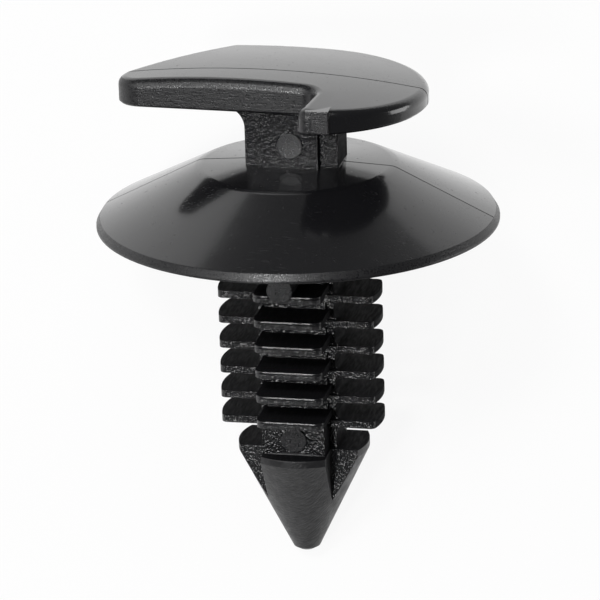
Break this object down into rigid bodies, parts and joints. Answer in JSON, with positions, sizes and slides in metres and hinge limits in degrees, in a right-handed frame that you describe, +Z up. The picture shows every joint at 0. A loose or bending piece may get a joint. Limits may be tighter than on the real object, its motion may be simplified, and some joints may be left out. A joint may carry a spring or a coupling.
{
  "type": "trim panel retainer",
  "caption": "One-piece push-in retainer: finned shank with an arrowhead, wide umbrella flange, short neck and a hooked, notched head.",
  "frame": {"origin": "centre of the footprint, on the surface that the retainer lies on", "axes": "+Y roughly along the shank from the tip to the head, seen from above; +Z up, away from the surface; the face with the notch looks up"},
  "size_m": [0.025, 0.0316, 0.0221],
  "materials": {
    "nylon": "black moulded nylon, polished on the flange and head, spark-eroded grain on the neck and shank core"
  },
  "bodies": {
    "root": {"retainer": "nylon"}
  },
  "joints": []
}
